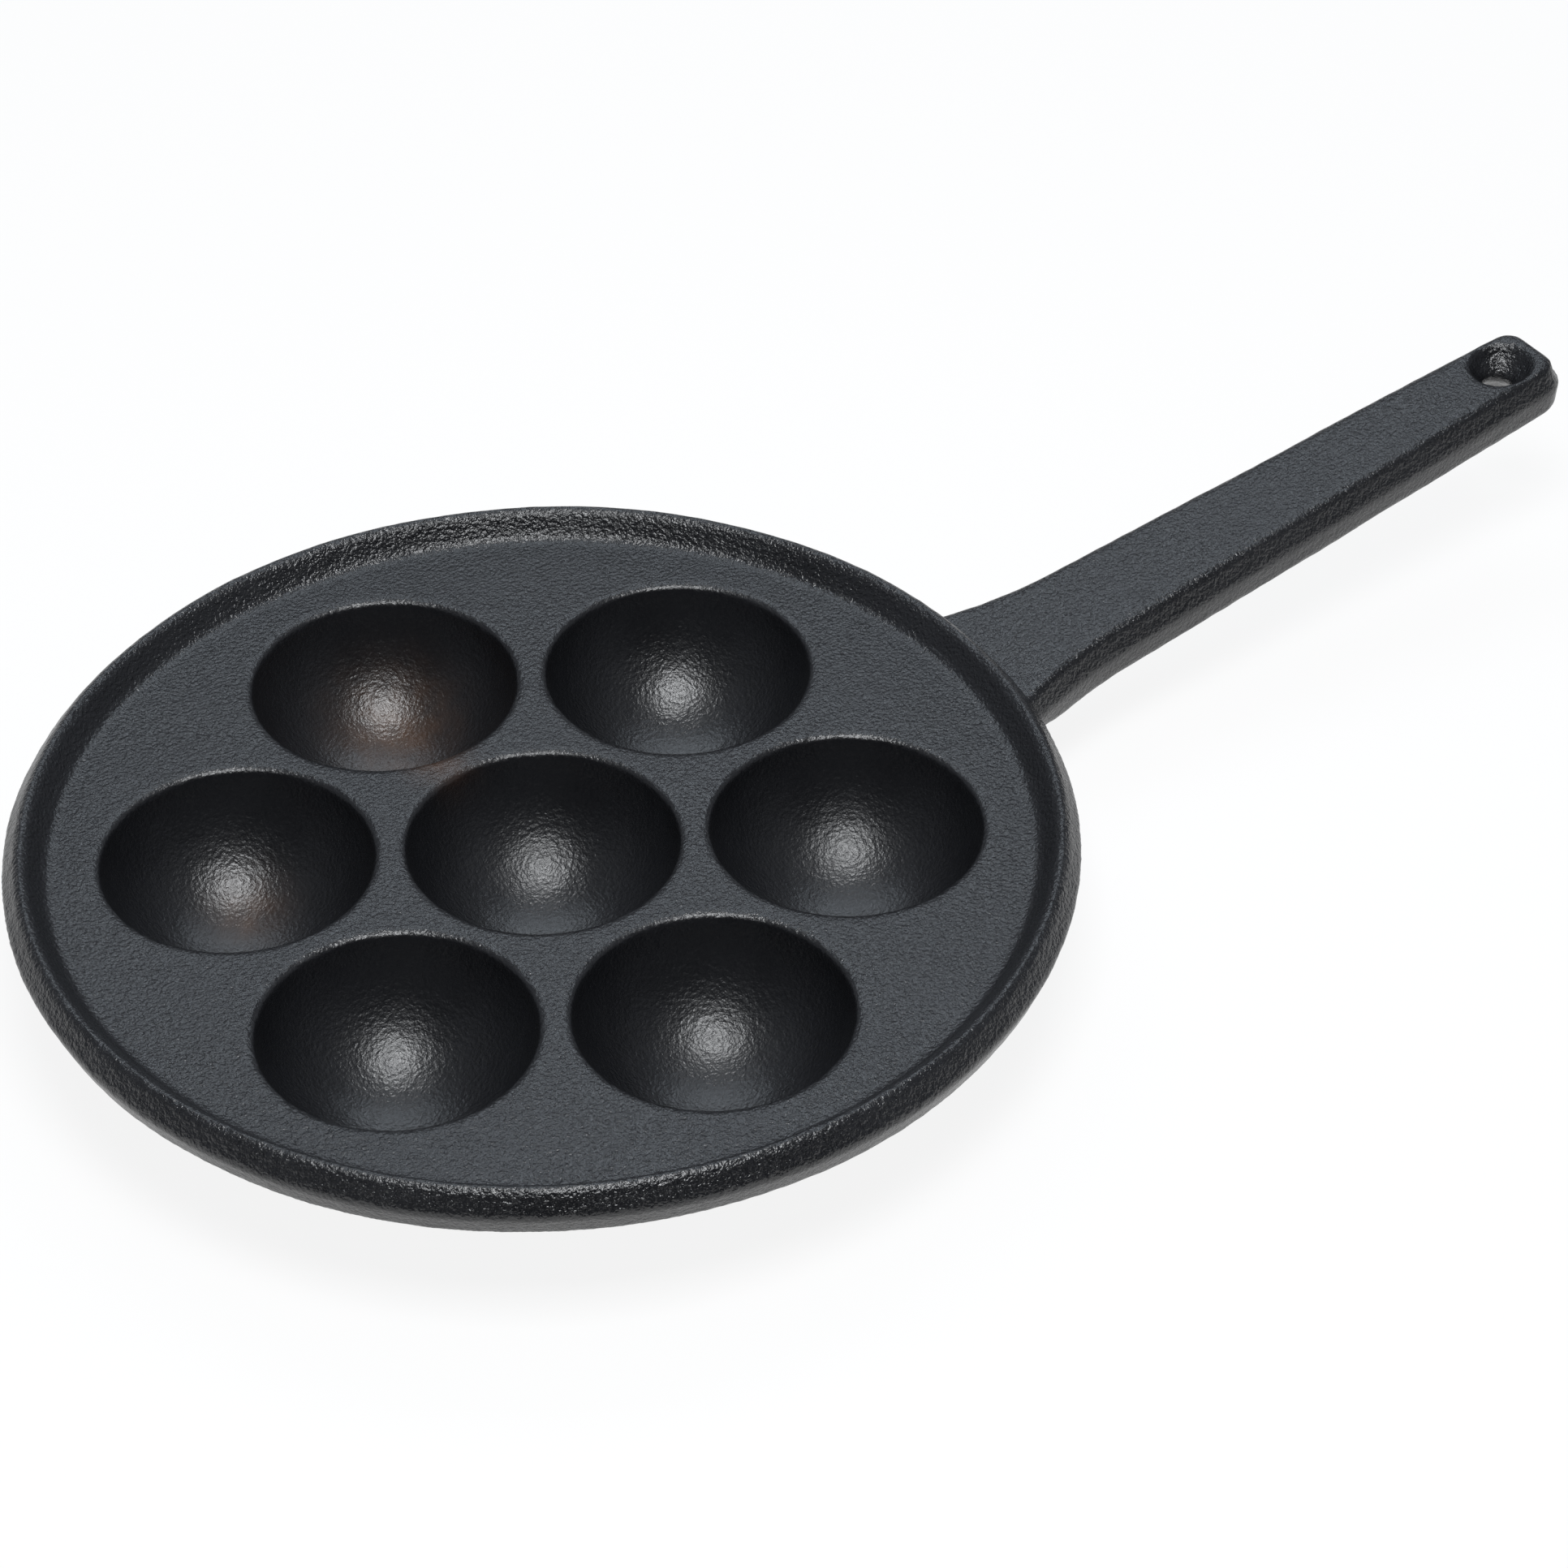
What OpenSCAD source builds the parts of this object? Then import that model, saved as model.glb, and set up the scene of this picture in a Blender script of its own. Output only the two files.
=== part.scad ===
/* [Pan] */
// Diameter across the parting line, the widest ring of the rim
pan_d = 220; // [200:1:250]
// Thickness of the cooking plate
plate_t = 5.2; // [4:0.1:7]
// Height of the rim's ridge above the plate
ridge_h = 5.4; // [4.5:0.1:8]
// How far the top of the ridge lies inside the parting line
ridge_inset = 4; // [3:0.1:6]
// Radius that rounds the top of the ridge
ridge_round = 1.6; // [1:0.1:2.2]
// Slope of the rim's inner wall, from level
inner_wall_angle = 53; // [45:1:70]
// Radius of the fillet between the plate and the rim's inner wall
rim_fillet = 2; // [1:0.1:3]
// Height of the parting line above the plate
parting_h = 0.6; // [0.2:0.1:1.2]
// Height of the narrow land that grinding leaves along the parting line
parting_land = 0.8; // [0.4:0.1:1.2]
// How far the rim's lower wall draws in below the parting line
lower_draw = 2.2; // [1:0.1:3.5]
// Radius of the rim's lower outer edge
lower_round = 1.1; // [0.6:0.1:2]

/* [Wells] */
// Distance from the pan's centre to the centre of each outer well
well_pitch = 62.3; // [60:0.1:68]
// Diameter of a well where its bowl meets the level of the plate
well_mouth_d = 56; // [50:0.5:56.5]
// Depth of a well below the plate
well_depth = 26; // [22:0.5:27.5]
// Thickness of a bowl's wall
well_wall = 4; // [3:0.1:5]
// Radius that rounds the lip of a well
lip_round = 1.2; // [0.8:0.1:1.5]
// How much is ground off under each bowl for its flat foot
foot_grind = 0.5; // [0.3:0.1:1]

/* [Handle] */
// Length of the handle beyond the pan's widest ring
handle_l = 157.5; // [120:0.5:200]
// Rise of the handle from level
handle_rise = 7.2; // [4:0.1:10]
// How far the handle's top lies below the plate where it meets the rim
handle_drop = 3.4; // [2:0.1:4.5]
// Thickness of the handle
handle_t = 11.6; // [10:0.1:14]
// Width of the handle's top at the end of its root
grip_w_root = 24.8; // [20:0.1:30]
// Width of the handle's top at its tip
grip_w_tip = 17.4; // [16.6:0.1:22]
// Length of the flared root outside the rim
root_l = 42; // [34:1:50]
// Radius of the flare at the root, seen from above
flare_r = 98; // [80:1:140]
// Length of the flared part of the root
flare_l = 30; // [24:1:32]
// How far the root reaches inward under the plate
root_reach = 20; // [14:1:22]
// Depth of the handle's parting line below its top
handle_parting = 5.4; // [4:0.1:6]
// How far the handle widens from its top to its parting line, on each side
handle_draft = 1.7; // [0.8:0.1:2.2]
// How far the handle draws in from its parting line to its underside, on each side
under_draft = 0.5; // [0.2:0.1:1.5]
// Radius of the handle's shoulders
shoulder_round = 2.2; // [1:0.1:3]
// Radius of the handle's lower edges
under_round = 1.6; // [0.8:0.1:2.4]
// Radius of the corners at the handle's tip, seen from above
tip_corner = 5; // [4:0.1:7]

/* [Hanging eye] */
// Distance of the eye's centre from the handle's tip
eye_setback = 12.7; // [12:0.1:16]
// Diameter of the eye at its throat
eye_d = 6.4; // [5:0.1:8]
// Height of the throat, where the wall of the eye is straight
eye_throat = 1.6; // [1.2:0.1:2.4]
// Diameter of the flared mouth of the eye, above and below
eye_mouth_d = 13.6; // [12:0.1:15]
// Radius that rounds the edge of the eye's mouth
eye_mouth_round = 1; // [0.5:0.1:1.4]

/* [Hidden] */
$fn = 96;
rim_facets = 180;
arc_steps = 8;
overshoot = 1;
flat_margin = 1;
well_count = 6;
first_well_angle = 30;

pan_r = pan_d / 2;

// Heights. The flat feet of the bowls stand on z = 0.
plate_z = well_depth + well_wall - foot_grind;
under_z = plate_z - plate_t;
ridge_z = plate_z + ridge_h;

// A bowl is part of a sphere whose centre lies bowl_rise above the plate
mouth_r = well_mouth_d / 2;
bowl_r = (mouth_r * mouth_r + well_depth * well_depth) / (2 * well_depth);
bowl_rise = bowl_r - well_depth;
bowl_out_r = bowl_r + well_wall;
bowl_z = plate_z + bowl_rise;
// The lip's rounding touches the plate's top at this radius, which is also the plate's hole
lip_r = sqrt(pow(bowl_r + lip_round, 2) - pow(bowl_rise + lip_round, 2));
lip_angle = asin((bowl_rise + lip_round) / (bowl_r + lip_round));

// Rim outline
ridge_r = pan_r - ridge_inset;
ridge_c = [ridge_r, ridge_z - ridge_round];
land_top = [pan_r, plate_z + parting_h + parting_land / 2];
land_bottom = [pan_r, plate_z + parting_h - parting_land / 2];
ridge_to_land = land_top - ridge_c;
outer_wall_angle = atan2(ridge_to_land.y, ridge_to_land.x) + acos(ridge_round / norm(ridge_to_land));
inner_normal = 90 + inner_wall_angle;
// Where the inner wall's line meets the plate
wall_top = ridge_c + ridge_round * [cos(inner_normal), sin(inner_normal)];
wall_foot_r = wall_top.x - (wall_top.y - plate_z) / tan(inner_wall_angle);
fillet_start_r = wall_foot_r - rim_fillet * tan(inner_wall_angle / 2);
plate_r = fillet_start_r - flat_margin;
// The lower wall runs from the land to the rounded lower edge
lower_angle = atan2(lower_draw, land_bottom.y - under_z);
lower_corner_r = pan_r - lower_draw;
lower_tangent = lower_round * tan((90 - lower_angle) / 2);
lower_c = [lower_corner_r - lower_tangent, under_z + lower_round];

// Handle
slope = tan(handle_rise);
tip_x = pan_r + handle_l;
top_tip_x = tip_x - handle_draft;
root_end_x = pan_r + root_l;
flare_end_x = pan_r + flare_l;
reach_x = pan_r - root_reach;
eye_x = tip_x - eye_setback;
// Bar left between the eye's mouth and the start of the hanging end
end_bar = 4;
end_x = eye_x - eye_mouth_d / 2 - end_bar;
eye_half = eye_mouth_d / 2;
parting_half_land = 0.3;
grip_steps = 6;
root_steps = 20;
tip_steps = 9;
under_plate_steps = 10;
// Length outside the rim over which the root's underside comes down to the handle's
knuckle_l = 14;
// How far the root's inner end is buried in the plate
root_bury = 0.4;
// Width of the root's inner end, as a share of its width at the rim
nose_share = 0.3;
// Inside this distance from the rim's edge the root's top climbs into the plate, at this rate
bury_start = 4;
bury_rate = 0.55;
eye_edge_steps = 4;

// Points of an arc about c, from angle a0 to angle a1
function arc(c, r, a0, a1, steps) =
    [for (i = [0:steps]) let (a = a0 + (a1 - a0) * i / steps) c + r * [cos(a), sin(a)]];

function ease(t) = let (u = max(0, min(1, t))) u * u * (3 - 2 * u);

// Fall of a quarter round of radius r, at distance s before its end
function round_fall(r, s) = s >= r ? 0 : r - sqrt(max(0, r * r - pow(r - s, 2)));

// Outside of the rim, from the lower edge up over the parting line to the ridge
function rim_outside() = concat(
    arc(lower_c, lower_round, -90, -lower_angle, arc_steps),
    [land_bottom, land_top],
    arc(ridge_c, ridge_round, outer_wall_angle, 90, arc_steps));

// Inside of the rim, from the ridge down into the fillet on the plate
function rim_inside() = concat(
    arc(ridge_c, ridge_round, 90, inner_normal, arc_steps),
    arc([fillet_start_r, plate_z + rim_fillet], rim_fillet,
        -90 + inner_wall_angle, -90, arc_steps));

module rim() {
    color("#26272b")
    rotate_extrude($fn = rim_facets) polygon(concat(
        [[plate_r, under_z]],
        rim_outside(),
        [for (p = rim_inside()) if (p.y < ridge_z) p],
        [[plate_r, plate_z]]));
}

module at_outer_well(n) {
    rotate(first_well_angle + (n - 1) * 360 / well_count)
    translate([well_pitch, 0, 0])
    children();
}

module cooking_plate() {
    color("#2f3136")
    difference() {
        translate([0, 0, under_z]) cylinder(h = plate_t, r = plate_r, $fn = rim_facets);
        plate_hole();
        for (n = [1:well_count]) at_outer_well(n) plate_hole();
    }
}

module plate_hole() {
    translate([0, 0, under_z - overshoot]) cylinder(h = plate_t + 2 * overshoot, r = lip_r);
}

// Half section of a bowl: a round lip, a round inside and a round outside with a flat foot
module bowl_section() {
    difference() {
        union() {
            translate([0, under_z]) square([lip_r, plate_t]);
            intersection() {
                translate([0, bowl_z]) circle(r = bowl_out_r);
                square([bowl_out_r, under_z]);
            }
        }
        translate([0, bowl_z]) circle(r = bowl_r);
        difference() {
            translate([0, plate_z - lip_round * (1 + sin(lip_angle))])
            square([lip_r, 2 * lip_round]);
            translate([lip_r, plate_z - lip_round]) circle(r = lip_round);
        }
        translate([-bowl_out_r, 0]) square([bowl_out_r, 2 * bowl_z]);
    }
}

// A bowl stays inside its own cell, so that neighbours meet face to face
module bowl() {
    color("#1f2023")
    intersection() {
        rotate_extrude() bowl_section();
        translate([0, 0, -overshoot])
        cylinder(h = plate_z + 2 * overshoot, d = well_pitch / cos(30), $fn = 6);
    }
}

module centre_well() {
    bowl();
}

module outer_well(n) {
    at_outer_well(n) rotate(-first_well_angle - (n - 1) * 360 / well_count) bowl();
}

// Height of the handle's top at x, without the rounding of the tip
function grip_top(x) = plate_z - handle_drop + (x - pan_r) * slope;

// Half the width of the handle's top at x, flared towards the rim
function grip_half(x) =
    let (t = (x - root_end_x) / (tip_x - root_end_x),
         into_flare = min(max(0, flare_end_x - x), flare_l))
    (grip_w_root + t * (grip_w_tip - grip_w_root)) / 2
        + flare_r - sqrt(flare_r * flare_r - into_flare * into_flare);

// Under the plate the root narrows to a round nose
function nose(x) = sqrt(max(nose_share * nose_share, 1 - pow(max(0, pan_r - x) / root_reach, 2)));

// Half the width at x of an outline that lies grow outside the handle's top
function outline_half(x, grow) =
    grip_half(x) * nose(x) + grow - round_fall(tip_corner + grow, top_tip_x + grow - x);

// The root's underside climbs to the plate, inward from the rim
function root_lift(x) =
    (1 - ease((x - reach_x) / (root_reach + knuckle_l))) * (under_z + root_bury - grip_top(x) + handle_t);

function top_at(x) =
    let (past = max(0, x - top_tip_x))
    grip_top(x) + bury_rate * max(0, pan_r - bury_start - x)
        - round_fall(shoulder_round, max(0, top_tip_x - x))
        - past * (handle_parting - shoulder_round) / handle_draft;

function bottom_at(x) =
    grip_top(x) - handle_t + root_lift(x) + round_fall(under_round, tip_x - x);

// Section of the handle at x, as points round its outline
function section(x) =
    let (top = top_at(x),
         parting = grip_top(x) - handle_parting,
         bottom = bottom_at(x),
         half = outline_half(min(x, top_tip_x), 0),
         half_parting = outline_half(x, handle_draft),
         half_bottom = half_parting - under_draft,
         shoulder = min(shoulder_round, max(0.1, (top - parting) * 0.45)),
         under = min(under_round, max(0.1, (parting - bottom) * 0.45)),
         land = max(parting - parting_half_land, bottom + under),
         right = concat(
             arc([half - shoulder, top - shoulder], shoulder, 90, 10, 5),
             [[half_parting, land + 2 * parting_half_land], [half_parting, land]],
             arc([half_bottom - under, bottom + under], under, -5, -90, 4)))
    concat(
        [for (p = right) [x, p.x, p.y]],
        [for (i = [len(right) - 1:-1:0]) [x, -right[i].x, right[i].y]]);

// Solid through the handle's sections at the given places along it
module handle_loft(stations) {
    rings = [for (x = stations) section(x)];
    n = len(rings[0]);
    last = len(stations) - 1;
    polyhedron(
        points = [for (ring = rings) each ring],
        faces = concat(
            [[for (i = [0:n - 1]) i]],
            [for (k = [0:last - 1]) for (i = [0:n - 1])
                [k * n + i, (k + 1) * n + i, (k + 1) * n + (i + 1) % n, k * n + (i + 1) % n]],
            [[for (i = [n - 1:-1:0]) last * n + i]]));
}

function spread(a, b, steps) = [for (i = [0:steps]) a + (b - a) * i / steps];

module handle_root() {
    color("#26272b")
    difference() {
        handle_loft(concat(
            spread(reach_x, pan_r, under_plate_steps),
            [for (i = [1:root_steps]) pan_r + root_l * i / root_steps]));
        rotate_extrude($fn = rim_facets) polygon(concat(
            [[0, under_z]],
            rim_outside(),
            [[0, ridge_z]]));
    }
}

module handle_grip() {
    color("#26272b")
    handle_loft(spread(root_end_x, end_x, grip_steps));
}

// The eye is widest at both faces and narrowest at its straight throat
module eye_cut() {
    top = grip_top(eye_x);
    throat_top = top - (handle_t - eye_throat) / 2;
    throat_bottom = throat_top - eye_throat;
    bottom = top - handle_t;
    drop = eye_half * slope;
    edge_r = eye_half + eye_mouth_round;
    rotate_extrude() polygon(concat(
        [[0, top + drop + overshoot], [edge_r, top + drop + overshoot]],
        arc([edge_r, top - eye_mouth_round], eye_mouth_round, 90, 180, eye_edge_steps),
        [[eye_d / 2, throat_top], [eye_d / 2, throat_bottom]],
        arc([edge_r, bottom + eye_mouth_round], eye_mouth_round, 180, 270, eye_edge_steps),
        [[edge_r, bottom - drop - overshoot], [0, bottom - drop - overshoot]]));
}

module hanging_end() {
    color("#26272b")
    difference() {
        handle_loft(concat(
            spread(end_x, top_tip_x - tip_corner, 4),
            [for (i = [1:tip_steps]) top_tip_x - tip_corner * cos(90 * i / tip_steps)],
            [for (i = [1:4]) top_tip_x + handle_draft * sin(90 * i / 4)]));
        translate([eye_x, 0, 0]) eye_cut();
    }
}

cooking_plate();
rim();
centre_well();
outer_well(1);  // well_1
outer_well(2);  // well_2
outer_well(3);  // well_3
outer_well(4);  // well_4
outer_well(5);  // well_5
outer_well(6);  // well_6
handle_root();
handle_grip();
hanging_end();
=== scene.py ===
from math import cos, radians, sin

import bpy
import numpy as np
from mathutils import Matrix, Vector, noise


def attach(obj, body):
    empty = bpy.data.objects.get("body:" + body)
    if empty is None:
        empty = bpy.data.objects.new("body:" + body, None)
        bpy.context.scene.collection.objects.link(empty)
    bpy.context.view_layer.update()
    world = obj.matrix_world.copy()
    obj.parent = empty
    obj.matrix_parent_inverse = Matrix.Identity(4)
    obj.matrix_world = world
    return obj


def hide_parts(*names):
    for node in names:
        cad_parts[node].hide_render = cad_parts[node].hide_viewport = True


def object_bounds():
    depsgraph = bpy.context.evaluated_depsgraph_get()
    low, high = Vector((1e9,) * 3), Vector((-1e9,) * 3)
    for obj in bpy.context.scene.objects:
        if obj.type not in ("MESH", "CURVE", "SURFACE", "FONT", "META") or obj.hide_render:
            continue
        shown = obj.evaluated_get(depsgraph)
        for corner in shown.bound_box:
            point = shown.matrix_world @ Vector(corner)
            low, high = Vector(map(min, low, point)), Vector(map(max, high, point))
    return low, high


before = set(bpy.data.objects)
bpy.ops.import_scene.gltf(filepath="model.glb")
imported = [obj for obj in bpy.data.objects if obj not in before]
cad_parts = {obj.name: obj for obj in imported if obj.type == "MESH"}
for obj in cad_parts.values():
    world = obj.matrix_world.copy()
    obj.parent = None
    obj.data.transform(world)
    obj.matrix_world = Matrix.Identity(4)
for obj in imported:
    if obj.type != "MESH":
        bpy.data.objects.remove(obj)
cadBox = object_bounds()
print("frame loaded")

scene = bpy.context.scene

# the part's own places, in metres
pan = {
    "plateTop": 0.0295,
    "plateUnder": 0.0243,
    "edgeRadius": 0.110,
    "partingHeight": 0.0301,
    "wellPitch": 0.0623,
    "wellCount": 6,
    "firstWellAngle": 30,
    "bowlRadius": 0.02808,
    "bowlCentreHeight": 0.03158,
    "bowlSkinStart": 0.0004,  # a bowl's inside fades out over this depth of its wall
    "bowlSkinEnd": 0.0016,
}


def wellCentres():
    centres = [(0.0, 0.0)]
    for i in range(pan["wellCount"]):
        turn = radians(pan["firstWellAngle"] + 360 * i / pan["wellCount"])
        centres.append((pan["wellPitch"] * cos(turn), pan["wellPitch"] * sin(turn)))
    return centres


def smoothStep(low, high, x):
    t = np.clip((x - low) / (high - low), 0, 1)
    return t * t * (3 - 2 * t)


# how the casting's skin is made
skin = {
    "cell": 0.00083,         # grid of the remesh
    "evenPasses": 6,         # smoothing that keeps the volume
    "evenIn": 0.5,
    "evenOut": 0.52,
    "castFilletPasses": 14,  # plain smoothing of the underside, for its cast fillets
    "castFilletShare": 0.5,
    "castFilletFade": 0.004,
    "sway": 0.00016,         # slow unevenness of the sand mould
    "swayLength": 0.024,
    "ripple": 0.00006,       # short lumps left by the sand
    "rippleLength": 0.0036,
    "partingWobble": 0.00035,
    "partingWobbleLength": 0.009,
    "partingBand": 0.0009,   # half height of the band that wanders
    "edgeDepth": 0.003,      # how far in from the edge the rim's outer face counts
    "edgeFull": 0.001,
    "footHeight": 0.0003,    # what lies lower than this is ground flat
}


def joinedNodes():
    points = []
    faces = []
    for name in sorted(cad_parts):
        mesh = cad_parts[name].data
        start = len(points)
        points += [v.co.copy() for v in mesh.vertices]
        faces += [[start + i for i in p.vertices] for p in mesh.polygons]
    mesh = bpy.data.meshes.new("joined_nodes")
    mesh.from_pydata(points, [], faces)
    return mesh


def seamlessMesh(source):
    holder = bpy.data.objects.new("holder", source)
    scene.collection.objects.link(holder)
    remesh = holder.modifiers.new("skin", "REMESH")
    remesh.mode = "VOXEL"
    remesh.voxel_size = skin["cell"]
    ready = holder.evaluated_get(bpy.context.evaluated_depsgraph_get())
    mesh = bpy.data.meshes.new_from_object(ready)
    bpy.data.objects.remove(holder)
    return mesh


def meshArrays(mesh):
    points = np.empty(len(mesh.vertices) * 3)
    mesh.vertices.foreach_get("co", points)
    edges = np.empty(len(mesh.edges) * 2, np.int64)
    mesh.edges.foreach_get("vertices", edges)
    return points.reshape(-1, 3), edges.reshape(-1, 2)


def outerShell(mesh):
    # thin sheets that the remesh leaves between neighbouring nodes aren't joined to the outside
    points, edges = meshArrays(mesh)
    label = np.arange(len(points))
    while True:
        before = label.copy()
        low = np.minimum(label[edges[:, 0]], label[edges[:, 1]])
        np.minimum.at(label, edges[:, 0], low)
        np.minimum.at(label, edges[:, 1], low)
        label = label[label]
        if (label == before).all():
            break
    kept = label == np.bincount(label).argmax()
    newIndex = np.cumsum(kept) - 1
    faces = [p.vertices[:] for p in mesh.polygons]
    faces = [newIndex[list(f)].tolist() for f in faces if kept[f[0]]]
    clean = bpy.data.meshes.new("casting")
    clean.from_pydata(points[kept].tolist(), [], faces)
    return clean


def neighbourMean(points, edges, degree):
    mean = np.zeros_like(points)
    for axis in range(3):
        mean[:, axis] += np.bincount(edges[:, 0], points[edges[:, 1], axis], len(points))
        mean[:, axis] += np.bincount(edges[:, 1], points[edges[:, 0], axis], len(points))
    return mean / degree[:, None]


def noiseAt(points, length, offset):
    return np.array([noise.noise(Vector(p) / length + offset) for p in points])


def normalsOf(mesh):
    normals = np.empty(len(mesh.vertices) * 3)
    mesh.vertex_normals.foreach_get("vector", normals)
    return normals.reshape(-1, 3)


def castSurface(mesh):
    points, edges = meshArrays(mesh)
    degree = np.maximum(np.bincount(edges.ravel(), minlength=len(points)), 1)
    for i in range(skin["evenPasses"]):
        points += skin["evenIn"] * (neighbourMean(points, edges, degree) - points)
        points -= skin["evenOut"] * (neighbourMean(points, edges, degree) - points)
    faded = pan["plateUnder"] - skin["castFilletFade"]
    below = smoothStep(pan["plateUnder"], faded, points[:, 2])
    inPan = np.hypot(points[:, 0], points[:, 1]) < pan["edgeRadius"] - skin["edgeDepth"]
    share = (below * inPan * skin["castFilletShare"])[:, None]
    for i in range(skin["castFilletPasses"]):
        points += share * (neighbourMean(points, edges, degree) - points)
    mesh.vertices.foreach_set("co", points.ravel())
    mesh.update()

    normals = normalsOf(mesh)
    lift = skin["sway"] * noiseAt(points, skin["swayLength"], Vector((3, 7, 1)))
    lift += skin["ripple"] * noiseAt(points, skin["rippleLength"], Vector((5, 2, 9)))
    points += normals * lift[:, None]

    # the ground parting line wanders a little round the pan
    radius = np.hypot(points[:, 0], points[:, 1])
    band = np.exp(-((points[:, 2] - pan["partingHeight"]) / skin["partingBand"]) ** 2)
    outerFace = pan["edgeRadius"] - skin["edgeDepth"]
    band *= smoothStep(outerFace, pan["edgeRadius"] - skin["edgeFull"], radius)
    band *= points[:, 0] < pan["edgeRadius"]
    around = points.copy()
    around[:, 2] = 0
    wander = noiseAt(around, skin["partingWobbleLength"], Vector((1, 1, 4)))
    wobble = skin["partingWobble"] * wander
    points[:, 2] += band * wobble

    points[points[:, 2] < skin["footHeight"], 2] = 0
    points = np.clip(points, np.array(cadBox[0]), np.array(cadBox[1]))
    mesh.vertices.foreach_set("co", points.ravel())
    mesh.update()
    return points


# brown seasoning stains: place, radius and strength
stains = [
    {"at": (0.0074, 0.0730, 0.0067), "radius": 0.011, "strength": 1.0},
    {"at": (-0.0480, 0.0399, 0.0056), "radius": 0.007, "strength": 0.7},
    {"at": (-0.0044, 0.0338, 0.0295), "radius": 0.006, "strength": 0.7},
]

# the plate's coarser pebbling, near its left edge
roughPatch = {"at": (-0.085, -0.045), "radius": 0.03}


def addMask(mesh, name, values):
    layer = mesh.attributes.new(name, "FLOAT", "POINT")
    layer.data.foreach_set("value", values.astype(np.float32))


def addMasks(mesh, points):
    well = np.zeros(len(points))
    for x, y in wellCentres():
        reach = np.sqrt(
            (points[:, 0] - x) ** 2
            + (points[:, 1] - y) ** 2
            + (points[:, 2] - pan["bowlCentreHeight"]) ** 2)
        skinStart = pan["bowlRadius"] + pan["bowlSkinStart"]
        skinEnd = pan["bowlRadius"] + pan["bowlSkinEnd"]
        inside = 1 - smoothStep(skinStart, skinEnd, reach)
        well = np.maximum(well, inside * (points[:, 2] < pan["plateTop"]))
    addMask(mesh, "well", well)

    stain = np.zeros(len(points))
    for s in stains:
        reach = np.linalg.norm(points - np.array(s["at"]), axis=1)
        stain += s["strength"] * np.exp(-(reach / s["radius"]) ** 2)
    addMask(mesh, "stain", np.clip(stain, 0, 1))

    reach = np.hypot(points[:, 0] - roughPatch["at"][0], points[:, 1] - roughPatch["at"][1])
    rough = np.exp(-(reach / roughPatch["radius"]) ** 2)
    addMask(mesh, "rough", rough * (points[:, 2] > pan["plateUnder"]))


# wraps a node's socket, so that shader maths reads as an expression
class Shade:
    def __init__(self, tree, socket):
        self.tree = tree
        self.socket = socket

    def node(self, kind, settings=None, sockets=None, out=0):
        made = self.tree.nodes.new(kind)
        for name, value in (settings or {}).items():
            setattr(made, name, value)
        for name, value in (sockets or {}).items():
            if isinstance(value, Shade):
                self.tree.links.new(value.socket, made.inputs[name])
            else:
                made.inputs[name].default_value = value
        return Shade(self.tree, made.outputs[out] if len(made.outputs) else None)

    def math(self, operation, first, second=0.0):
        return self.node("ShaderNodeMath", {"operation": operation}, {0: first, 1: second})

    def __add__(self, other):
        return self.math("ADD", self, other)

    __radd__ = __add__

    def __mul__(self, other):
        return self.math("MULTIPLY", self, other)

    __rmul__ = __mul__

    def __sub__(self, other):
        return self.math("SUBTRACT", self, other)

    def __rsub__(self, other):
        return self.math("SUBTRACT", other, self)


def newTree(block):
    block.use_nodes = True
    block.node_tree.nodes.clear()
    return Shade(block.node_tree, None)


def mixColour(start, share, first, second):
    return start.node(
        "ShaderNodeMix", {"data_type": "RGBA"}, {0: share, 6: first, 7: second}, out=2)


iron = {
    "black": (0.0035, 0.0036, 0.0045, 1),
    "worn": (0.009, 0.0095, 0.0115, 1),
    "brown": (0.060, 0.026, 0.010, 1),
    "roughness": 0.30,
    "wellRoughness": 0.36,
    "grainScale": 1150,      # about 0.9 mm from lump to lump
    "fineScale": 2600,
    "grainDepth": 0.00045,
    "wellSmoothness": 0.5,   # how much of the grain the wells lack
    "specularIndex": 1.6,
    "patchScale": 45.0,      # broad uneven patches of seasoning
    "patchGloss": 0.16,      # how much roughness swings from patch to patch
    "grainGloss": 0.2,       # and from lump to lump
    "roughPatchDulling": 0.05,
    "pebbleScale": 420.0,
    "pebbleDepth": 0.8,
    "stainBlotchScale": 260.0,
    "stainBlotchGain": 1.5,
    "grainShare": 0.8,       # of the height, the rest is the fine grain
}


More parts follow.
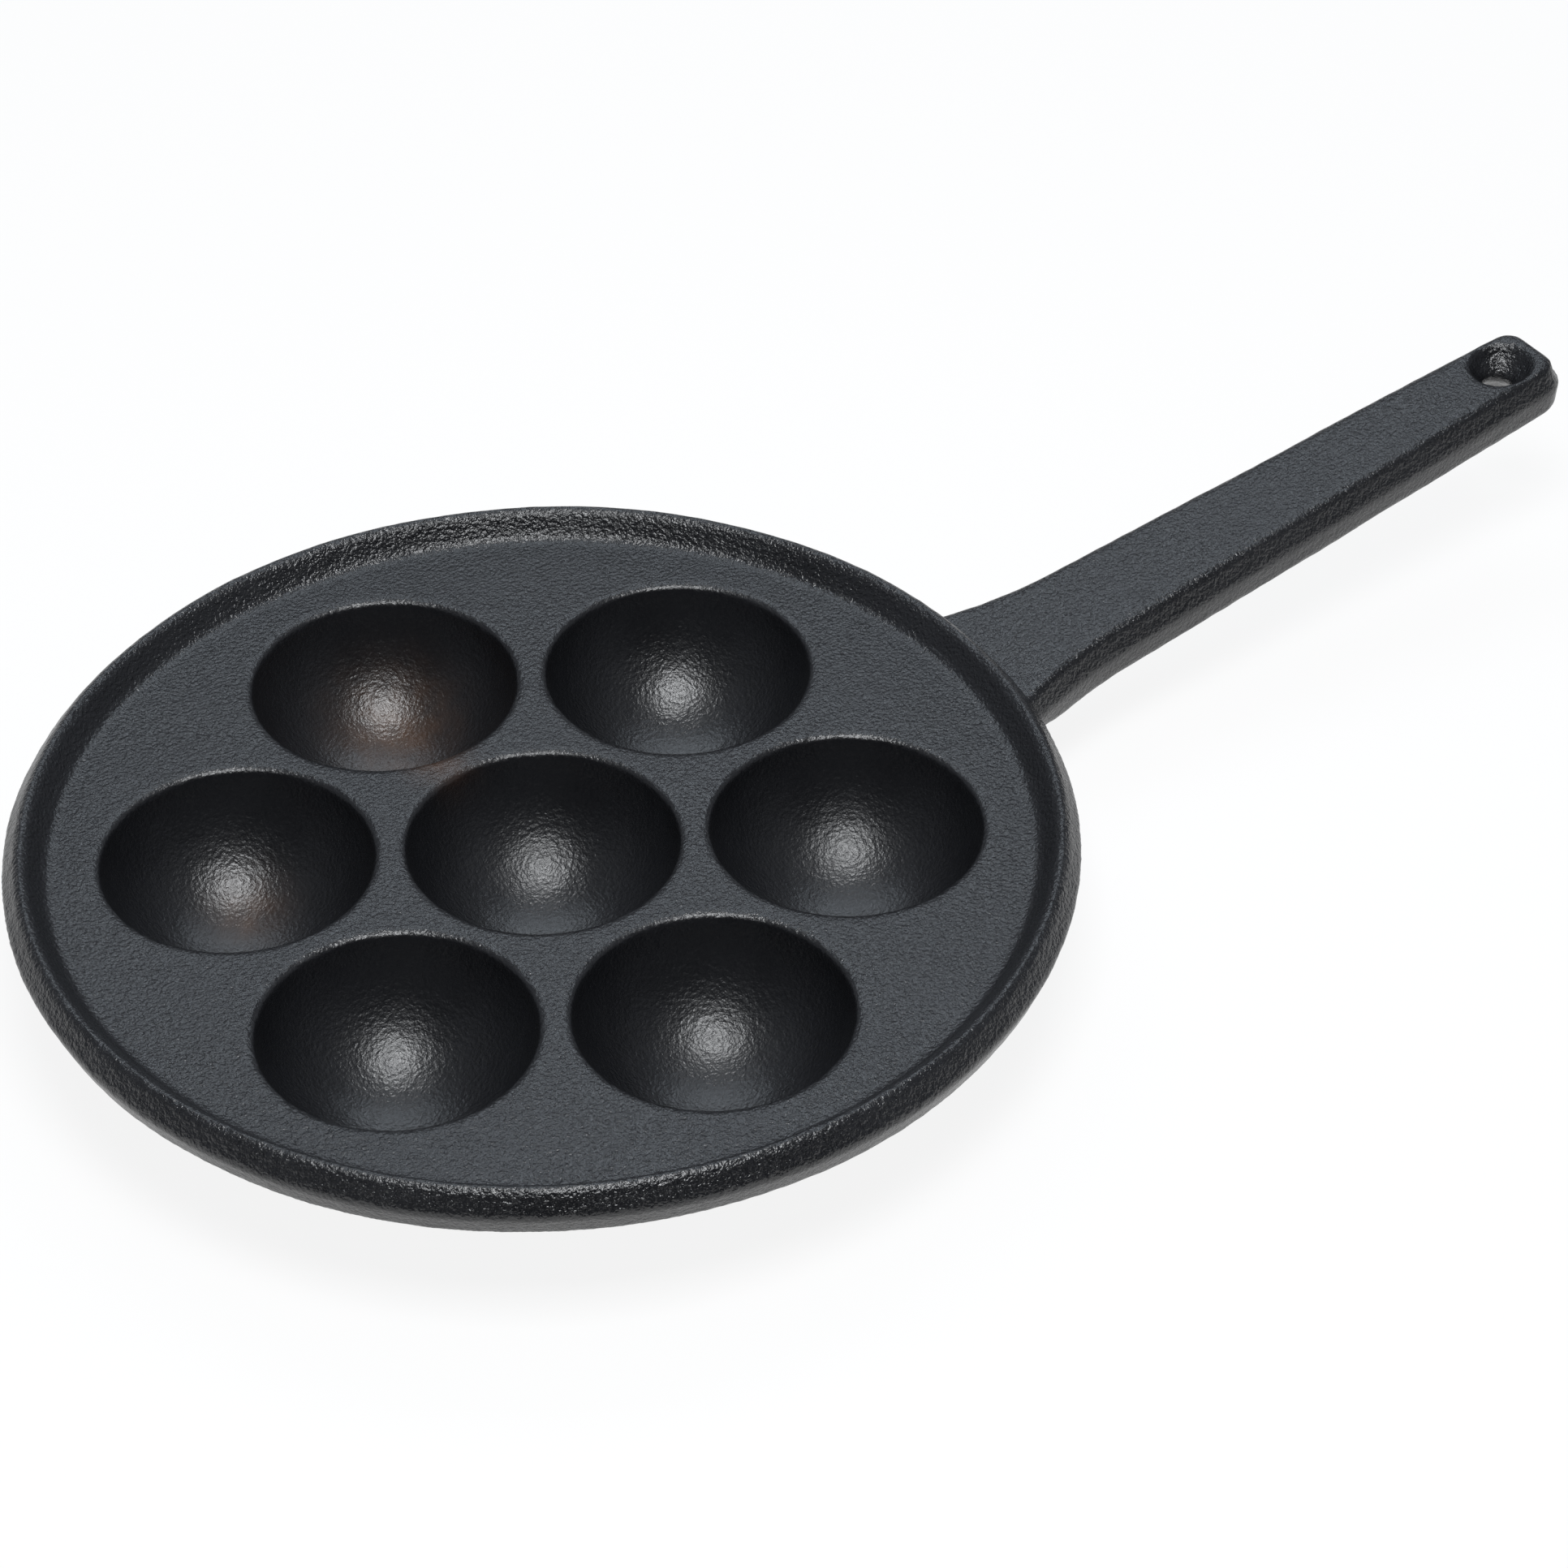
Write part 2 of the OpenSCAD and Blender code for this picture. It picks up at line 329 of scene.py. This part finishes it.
def seasonedIron():
    material = bpy.data.materials.new("seasoned_iron")
    start = newTree(material)
    place = start.node("ShaderNodeTexCoord", out="Object")
    well = start.node("ShaderNodeAttribute", {"attribute_name": "well"}, out="Fac")
    stain = start.node("ShaderNodeAttribute", {"attribute_name": "stain"}, out="Fac")
    rough = start.node("ShaderNodeAttribute", {"attribute_name": "rough"}, out="Fac")

    def cloud(scale, detail=2.0):
        return start.node(
            "ShaderNodeTexNoise", sockets={"Vector": place, "Scale": scale, "Detail": detail})

    patches = cloud(iron["patchScale"], 4.0)
    grain = cloud(iron["grainScale"], 2.0)
    fine = cloud(iron["fineScale"], 1.0)
    blotch = cloud(iron["stainBlotchScale"], 4.0)

    black = mixColour(start, patches, iron["black"], iron["worn"])
    spotted = stain * (blotch * iron["stainBlotchGain"])
    colour = mixColour(start, spotted, black, iron["brown"])
    smoother = iron["wellRoughness"] - iron["roughness"]
    roughness = iron["roughness"] + well * smoother
    roughness = roughness + (patches - 0.5) * iron["patchGloss"]
    roughness = roughness + (grain - 0.5) * iron["grainGloss"]
    roughness = roughness + rough * iron["roughPatchDulling"]

    height = grain * iron["grainShare"] + fine * (1 - iron["grainShare"])
    height = height * (1 - well * iron["wellSmoothness"])
    height = height + rough * cloud(iron["pebbleScale"], 2.0) * iron["pebbleDepth"]
    bump = start.node("ShaderNodeBump", sockets={
        "Strength": 1.0,
        "Distance": iron["grainDepth"],
        "Height": height,
    })

    surface = start.node("ShaderNodeBsdfPrincipled", sockets={
        "Base Color": colour,
        "Roughness": roughness,
        "IOR": iron["specularIndex"],
        "Normal": bump,
    })
    start.node("ShaderNodeOutputMaterial", sockets={"Surface": surface})
    return material


floorLook = {
    "half": 30.0,            # half its side
    "colour": (0.9, 0.9, 0.9, 1),
    "glowShare": 0.88,       # the rest takes the pan's shadow
}


def shownToEye(start):
    # the background stays white for the eye and in what the iron mirrors
    seen = start.node("ShaderNodeLightPath", out="Is Camera Ray")
    mirrored = start.node("ShaderNodeLightPath", out="Is Glossy Ray")
    through = start.node("ShaderNodeLightPath", out="Is Transmission Ray")
    return start.math("MINIMUM", seen + mirrored + through, 1.0)


def paleFloor():
    material = bpy.data.materials.new("pale_floor")
    start = newTree(material)
    matte = start.node("ShaderNodeBsdfDiffuse", sockets={"Color": floorLook["colour"]})
    glow = start.node("ShaderNodeEmission", sockets={"Color": (1, 1, 1, 1), "Strength": 1.0})
    share = shownToEye(start) * floorLook["glowShare"]
    surface = start.node("ShaderNodeMixShader", sockets={0: share, 1: matte, 2: glow})
    start.node("ShaderNodeOutputMaterial", sockets={"Surface": surface})
    return material


casting = bpy.data.objects.new("casting", outerShell(seamlessMesh(joinedNodes())))
scene.collection.objects.link(casting)
castPoints = castSurface(casting.data)
addMasks(casting.data, castPoints)
casting.data.polygons.foreach_set("use_smooth", [True] * len(casting.data.polygons))
casting.data.materials.append(seasonedIron())
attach(casting, "root")
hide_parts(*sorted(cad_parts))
print("casting made,", len(casting.data.polygons), "faces")

half = floorLook["half"]
corners = [(-half, -half, 0), (half, -half, 0), (half, half, 0), (-half, half, 0)]
floorMesh = bpy.data.meshes.new("floor")
floorMesh.from_pydata(corners, [], [(0, 1, 2, 3)])
floor = bpy.data.objects.new("floor", floorMesh)
floorMesh.materials.append(paleFloor())
scene.collection.objects.link(floor)
print("floor laid")


lamps = [
    {"name": "top_softbox", "at": (-0.13, -0.28, 0.92), "size": (0.38, 0.38),
     "power": 8.0, "colour": (0.96, 0.98, 1.0)},
    {"name": "back_softbox", "at": (0.42, 0.62, 0.96), "size": (1.2, 0.40),
     "power": 4.5, "colour": (0.82, 0.91, 1.0)},
]

lampAim = Vector((0.03, 0.0, 0.02))
for lamp in lamps:
    light = bpy.data.lights.new(lamp["name"], "AREA")
    light.shape = "RECTANGLE"
    light.size, light.size_y = lamp["size"]
    light.energy = lamp["power"]
    light.color = lamp["colour"]
    holder = bpy.data.objects.new(lamp["name"], light)
    holder.location = lamp["at"]
    holder.rotation_euler = (lampAim - holder.location).to_track_quat("-Z", "Y").to_euler()
    scene.collection.objects.link(holder)


studioGrey = (0.21, 0.22, 0.24, 1)


def studioWorld():
    world = bpy.data.worlds.new("studio")
    scene.world = world
    start = newTree(world)
    glow = start.node("ShaderNodeBackground", sockets={"Color": studioGrey, "Strength": 1.0})
    start.node("ShaderNodeOutputWorld", sockets={"Surface": glow})


# a black card on the near side, which keeps the walls that face it dark
darkCard = {
    "towards": (-0.5655, -0.8247),
    "distance": 1.5,
    "width": 3.6,
    "height": 2.6,
    "lean": 0.7,             # how far its top leans over the pan
    "colour": (0.02, 0.02, 0.022, 1),
}


def cardMaterial():
    material = bpy.data.materials.new("black_card")
    start = newTree(material)
    matte = start.node("ShaderNodeBsdfDiffuse", sockets={"Color": darkCard["colour"]})
    start.node("ShaderNodeOutputMaterial", sockets={"Surface": matte})
    return material


def layDarkCard():
    out = Vector((*darkCard["towards"], 0))
    side = Vector((-out.y, out.x, 0)) * darkCard["width"] / 2
    foot = out * darkCard["distance"]
    top = out * (darkCard["distance"] - darkCard["lean"]) + Vector((0, 0, darkCard["height"]))
    mesh = bpy.data.meshes.new("dark_card")
    mesh.from_pydata([foot - side, foot + side, top + side, top - side], [], [(0, 1, 2, 3)])
    mesh.materials.append(cardMaterial())
    card = bpy.data.objects.new("dark_card", mesh)
    card.visible_camera = False
    card.visible_shadow = False
    card.visible_diffuse = False
    scene.collection.objects.link(card)


layDarkCard()
studioWorld()
print("lights set")

# the photo's viewing angle, in degrees, and place, in metres
view = {
    "azimuth": -34.4378,
    "elevation": 40.0834,
    "roll": -0.37422,
    "place": (-0.40796, -0.68221, 0.71195),
    "lens": 117.53,
    "sensor": 36,
    "clipStart": 0.01,
}


def photoCamera():
    a = radians(view["azimuth"])
    e = radians(view["elevation"])
    r = radians(view["roll"])
    back = Vector((sin(a) * cos(e), -cos(a) * cos(e), sin(e)))
    right = Vector((cos(a), sin(a), 0))
    up = back.cross(right)
    rolledRight = cos(r) * right + sin(r) * up
    rolledUp = cos(r) * up - sin(r) * right
    data = bpy.data.cameras.new("camera")
    data.lens = view["lens"]
    data.sensor_width = view["sensor"]
    data.clip_start = view["clipStart"]
    camera = bpy.data.objects.new("camera", data)
    turn = Matrix((rolledRight, rolledUp, back)).transposed().to_4x4()
    camera.matrix_world = Matrix.Translation(Vector(view["place"])) @ turn
    scene.collection.objects.link(camera)
    scene.camera = camera


photoCamera()
scene.view_settings.view_transform = "Standard"
print("camera set")
